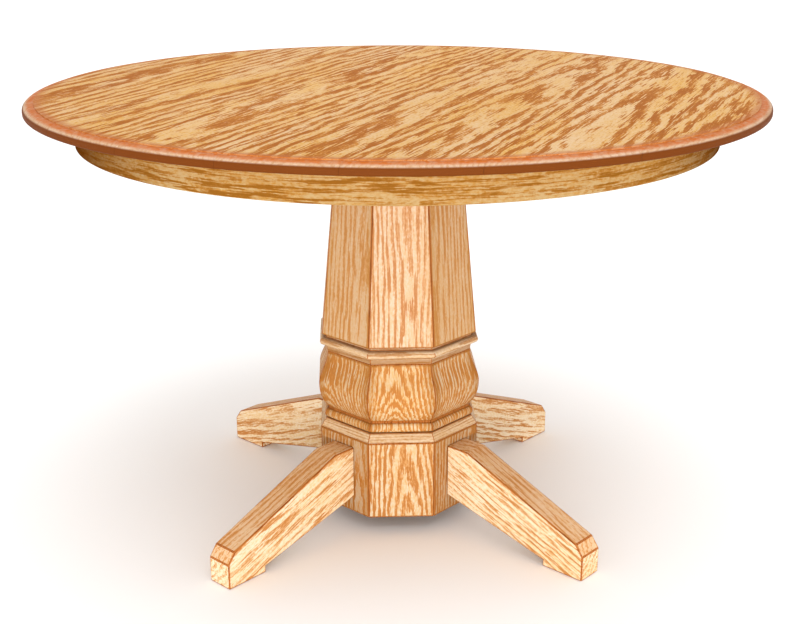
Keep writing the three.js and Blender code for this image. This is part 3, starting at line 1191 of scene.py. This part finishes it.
def bulb_outline() -> Outline:
    """The bulb's wall: a half-round bead along the foot, then a full belly that draws in to the neck."""
    low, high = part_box("bulb_stave_1")
    bottom, top, belly = low.z, high.z, high.x
    inner = 0.100
    neck = 0.125
    bead = 0.1315
    bead_half = 0.0085
    nick = 0.001
    quirk = neck - nick
    foot_z = bottom + 0.021
    reach = 0.068
    belly_z = bottom + reach
    lean = 0.003
    outline = [(inner, bottom)]
    outline += arc((quirk, bottom + bead_half), (bead - quirk, bead_half), -90, 90, 10)
    outline += [(quirk, foot_z - nick), (neck, foot_z)]
    foot_handle = (belly - lean, foot_z + reach / 5)
    outline += bezier([(neck, foot_z), foot_handle, (belly, belly_z - reach / 4), (belly, belly_z)], 12)
    neck_handle = (neck, top - reach / 3)
    outline += bezier([(belly, belly_z), (belly, belly_z + reach / 4), neck_handle, (neck, top)], 16)
    return [*outline, (inner, top)]


@dataclass
class Moulding:
    """An octagonal ring of moulding, mitred at each corner, with its grain along each length."""

    node: str
    outline: Outline
    seed: int
    ease: float = 0.0008
    ease_angle: float = 35.0
    flat_limit: float = 0.2
    pith_below: float = 0.3
    pith_behind: float = 0.09

    def build(self) -> None:
        """Spins the outline in eight steps, eases the mitres, and dresses the ring."""
        piece = Bench.turned(f"{self.node}_oak", upright(self.outline, SIDE_ANGLE / 2, TO_CORNER), SIDES)
        Bench.ease(piece, self.ease, 1, self.ease_angle)
        Bench.sand(piece)
        chance = random.Random(self.seed)
        shifts = [chance.uniform(-3, 3) for _ in range(SIDES)]

        def mapper(place: Vector, normal: Vector) -> Vector:
            """Run, width and depth in the length of moulding that a face belongs to."""
            heading = place if normal.xy.length < self.flat_limit else normal
            side = round(math.atan2(heading.y, heading.x) / SIDE_ANGLE) % SIDES
            local = Matrix.Rotation(-side * SIDE_ANGLE, 3, "Z") @ place
            return Vector((local.y + shifts[side], local.z - self.pith_below, local.x - self.pith_behind))

        Bench.lay_grain(piece, mapper)
        Bench.dress(piece, MOULDING, ARRIS)
        Bench.fit(piece, "oak_moulding", self.node)


def collar_outline() -> Outline:
    """The collar: a cove, a full bead and a low set-back step."""
    low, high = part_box("pedestal_collar")
    hole = 0.085
    neck = 0.125
    step = 0.1265
    step_height = 0.006
    bead = 0.0065
    bead_top = high.z + GLUE_LINE - step_height
    bead_flat = high.x - bead
    outline = [(hole, low.z), (neck, low.z)]
    start, turn, end = (neck, low.z), (neck, bead_top - 2 * bead), (bead_flat, bead_top - 2 * bead)
    handles = [tuple(p[a] + (turn[a] - p[a]) * 2 / 3 for a in (0, 1)) for p in (start, end)]
    outline += bezier([start, handles[0], handles[1], end], 8)
    outline += arc((bead_flat, bead_top - bead), (bead, bead), -90, 90, 14)[1:]
    return [*outline, (step, bead_top), (step, high.z), (hole, high.z)]


def cap_outline() -> Outline:
    """The base cap: a plain bevel from the block's face up to a narrower flat."""
    low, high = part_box("base_cap")
    hole = 0.085
    upper = 0.129
    return [(hole, low.z), (high.x, low.z), (upper, high.z), (hole, high.z)]


@dataclass
class Legs:
    """Four legs on the corner faces of the base, with the grain along their slope."""

    slope: float = math.radians(-22)
    ease: float = 0.0021
    seed: int = 31
    pith_beside: Band = (0.21, 0.24)
    pith_depth: Band = (0.03, 0.05)
    tilt: float = 0.05

    def build(self) -> None:
        """Copies each leg's shape, eases its edges and dresses it."""
        chance = random.Random(self.seed)
        run = Vector((math.cos(self.slope), 0, math.sin(self.slope)))
        width = Vector((math.sin(self.slope), 0, -math.cos(self.slope)))
        places = {"back_right": 45, "back_left": 135, "front_left": 225, "front_right": 315}
        for place, turn in places.items():
            node = f"leg_{place}"
            piece = Bench.from_node(f"{node}_oak", node)
            Bench.ease(piece, self.ease, 1, clamp=False)
            Bench.sand(piece)
            reaches = ((-3, 3), self.pith_beside, self.pith_depth)
            pith = Vector([chance.uniform(*reach) for reach in reaches])
            board = BoardFrame(math.radians(turn), run, width, pith, self.tilt)
            # the upper faces get painted shade
            Bench.lay_grain(piece, board, share=upper_share)
            Bench.dress(piece, LEG, ARRIS)
            Bench.fit(piece, "oak_leg", node)


@dataclass
class Works:
    """What holds the table together out of sight: arms, plug, plate, splices and steel."""

    ease: float = 0.0012
    steel_ease: float = 0.0003
    wood: tuple[tuple[str, Grain], ...] = (
        ("top_arm_side_to_side", Grain.ALONG_X),
        ("top_arm_front_to_back", Grain.ALONG_Y),
        ("column_top_plug", Grain.ALONG_X),
        ("base_bottom_plate", Grain.ALONG_X),
        ("apron_splice_left", Grain.ALONG_Y),
        ("apron_splice_right", Grain.ALONG_Y),
    )

    def build(self) -> None:
        """Copies each piece's shape, eases its edges and dresses it."""
        for node, grain in self.wood:
            self.dress(node, self.ease, UNFINISHED[grain], "oak_unfinished")
        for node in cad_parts:
            if node.startswith(("leg_bolt", "tie_rod")):
                self.dress(node, self.steel_ease, ZINC, "zinc_steel")

    @staticmethod
    def dress(node: str, ease: float, finish: OakFinish | ZincFinish, slot: str) -> None:
        """Models one piece on its CAD node.

        Args:
            node: The CAD node's name.
            ease: How wide its eased edges are.
            finish: Its finish.
            slot: Not used.
        """
        piece = Bench.from_node(f"{node}_finished", node)
        Bench.ease(piece, ease)
        Bench.sand(piece)
        Bench.dress(piece, finish)
        Bench.fit(piece, slot, node)


# ---- studio ----


@dataclass
class Studio:
    """A plain pale floor, soft light from the front and above, and the camera."""

    floor_size: float = 80.0
    distance: float = 2.157
    height: float = 1.088
    azimuth: float = math.radians(-2.5)
    heading: float = math.radians(-0.105)
    pitch: float = math.radians(18.55)
    focal_share: float = 1.59825
    sky: float = 1.15
    front_power: float = 840.0
    front_place: Vector = field(default_factory=lambda: Vector((-0.5, -10.0, 0.36)))
    front_size: Band = (8.0, 0.6)
    above_strength: float = 0.8
    above_tip: float = math.radians(22)
    above_side: float = math.radians(20)
    above_width: float = math.radians(40)

    def build(self) -> None:
        """Lays the floor, hangs the lights and sets the camera."""
        self.lay_floor()
        self.light()
        self.set_camera()

    def lay_floor(self) -> None:
        """Adds the floor and its matt white finish."""
        bpy.ops.object.select_all(action="DESELECT")
        bpy.ops.mesh.primitive_plane_add(size=self.floor_size, location=(0, 0, CAD_BOX[0].z))
        floor = bpy.context.object
        floor.name = "studio_floor"
        graph = Graph("studio_white")
        cloud = graph.noise(graph.own(), Texture.FLOOR_CLOUD)
        colour = graph.mix(cloud, (0.90,) * 3, (0.93,) * 3)
        floor.data.materials.append(graph.finish(Base_Color=colour, Roughness=0.9, Specular_IOR_Level=0.1))

    def light(self) -> None:
        """Sets the even sky, a broad low lamp that keeps its glare off the top, and soft light from above."""
        scene = bpy.context.scene
        world = bpy.data.worlds.new("studio_sky")
        world.use_nodes = True
        world.node_tree.nodes["Background"].inputs["Color"].default_value = (1.0, 0.995, 0.985, 1.0)
        world.node_tree.nodes["Background"].inputs["Strength"].default_value = self.sky
        scene.world = world
        front = bpy.data.lights.new("front", "AREA")
        front.shape = "RECTANGLE"
        front.energy = self.front_power
        front.size, front.size_y = self.front_size
        panel = bpy.data.objects.new("front", front)
        panel.location = self.front_place
        panel.rotation_euler.x = math.pi / 2
        panel.visible_camera = False
        above = bpy.data.lights.new("above", "SUN")
        above.energy = self.above_strength
        above.angle = self.above_width
        holder = bpy.data.objects.new("above", above)
        holder.rotation_euler = (self.above_tip, 0.0, self.above_side)
        for lamp in (panel, holder):
            scene.collection.objects.link(lamp)

    def set_camera(self) -> None:
        """Places the camera and makes it the scene's."""
        lens = bpy.data.cameras.new("camera")
        lens.sensor_width = 36.0
        lens.lens = self.focal_share * lens.sensor_width
        lens.clip_end = 200.0
        camera = bpy.data.objects.new("camera", lens)
        camera.location = (
            math.sin(self.azimuth) * self.distance,
            -math.cos(self.azimuth) * self.distance,
            self.height,
        )
        camera.rotation_euler = (math.pi / 2 - self.pitch, 0.0, self.azimuth + self.heading)
        bpy.context.scene.collection.objects.link(camera)
        bpy.context.scene.camera = camera
        bpy.context.scene.view_settings.view_transform = "Standard"


def main() -> None:
    """Sets up the studio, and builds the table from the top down."""
    logging.basicConfig(level=logging.INFO, format="%(name)s: %(message)s")
    Studio().build()
    Tabletop().build()
    Apron().build()
    # each ring sets the painted shade of its corner staves
    MitredStaves("column", COLUMN, 5, painted_side_shade=0.40, tilt=0.07, outline=column_outline()).build()
    Moulding("pedestal_collar", collar_outline(), 7).build()
    MitredStaves(
        "bulb", BULB, 9, painted_side_shade=0.24, tilt=0.20, relief=0.3, pith_depth=0.030, ease=0.0020,
        outline=bulb_outline(),
    ).build()
    Moulding("base_cap", cap_outline(), 13).build()
    Staves("base", BASE, 23, painted_side_shade=0.44, tilt=0.09, pith_depth=0.030).build()
    Legs().build()
    Works().build()


if __name__ == "__main__":
    main()
